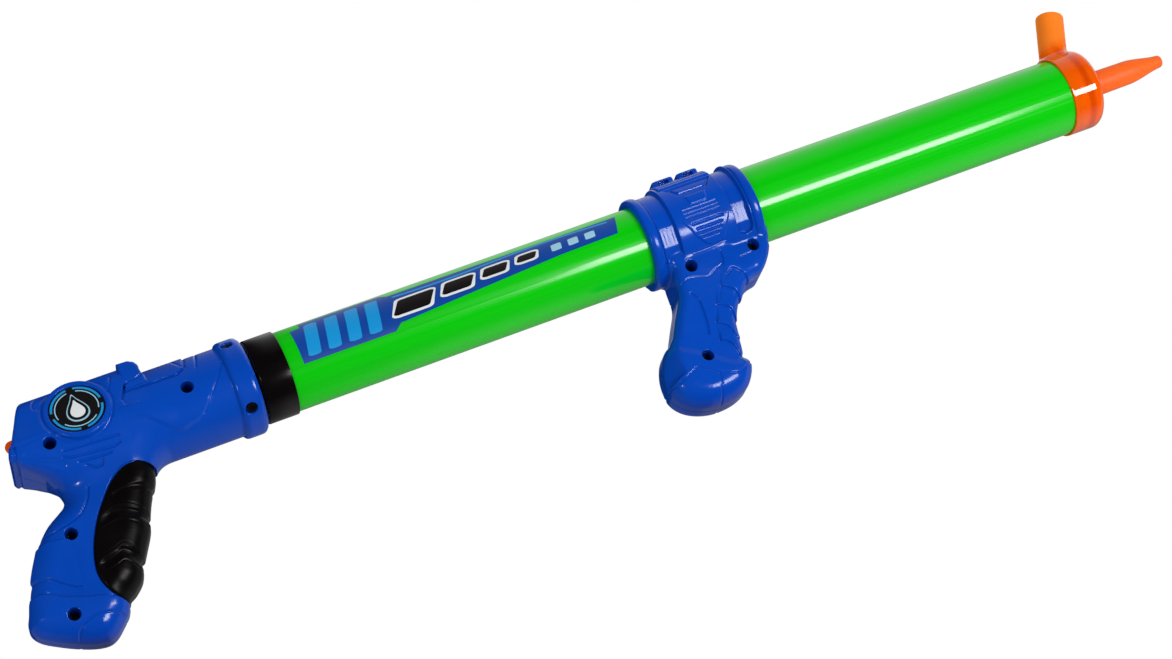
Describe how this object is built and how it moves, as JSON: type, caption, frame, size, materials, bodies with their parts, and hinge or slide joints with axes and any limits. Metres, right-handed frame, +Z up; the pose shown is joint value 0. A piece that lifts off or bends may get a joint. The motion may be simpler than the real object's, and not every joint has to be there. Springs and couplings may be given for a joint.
{
  "type": "pump water squirter",
  "caption": "Long pump water squirter: a round barrel with a foregrip, a pistol handle on a sliding plunger tube and a turning head with a jet nozzle and a wide spout.",
  "frame": {"origin": "on the barrel axis at the clip seat, the bare tube in front of the foregrip", "axes": "+X along the barrel towards the jet, +Z up, away from the grips, +Y to the left of the person holding it"},
  "size_m": [0.7178, 0.0548, 0.1561],
  "materials": {
    "green_tube": "smooth gloss",
    "blue_body": "moulded gloss",
    "black_gloss": "smooth gloss",
    "orange_head": "translucent gloss",
    "grip_rubber": "satin, moulded with finger grooves",
    "seal_rubber": "matt",
    "milky_plastic": "plain moulded",
    "screw_steel": "zinc plated",
    "badge_print": "printed disc"
  },
  "bodies": {
    "barrel": {"barrel_tube": "green_tube", "rear_collar": "black_gloss", "guide_bush": "milky_plastic", "wiper_ring": "seal_rubber", "stop_ring": "seal_rubber", "valve_core": "milky_plastic", "core_o_rings": "seal_rubber", "foregrip_right": "blue_body", "foregrip_left": "blue_body", "foregrip_screws": "screw_steel"},
    "head": {"nozzle_head": "orange_head", "pivot_screw": "screw_steel"},
    "plunger": {"plunger_tube": "black_gloss", "piston": "milky_plastic", "piston_rings": "seal_rubber", "piston_pin": "screw_steel", "handle_bush": "milky_plastic", "handle_right": "blue_body", "handle_left": "blue_body", "handle_screws": "screw_steel", "collar_screws": "screw_steel", "grip_pad": "grip_rubber", "rear_tip": "orange_head", "badge_right": "badge_print", "badge_left": "badge_print"}
  },
  "joints": [
    {"name": "plunger_slide", "type": "slide", "parent": "barrel", "child": "plunger", "axis": [-1, 0, 0], "range_m": [0, 0.404]},
    {"name": "head_twist", "type": "hinge", "parent": "barrel", "child": "head", "pos_m": [0.178, 0, 0], "axis": [1, 0, 0], "range_deg": [-90, 90]}
  ]
}
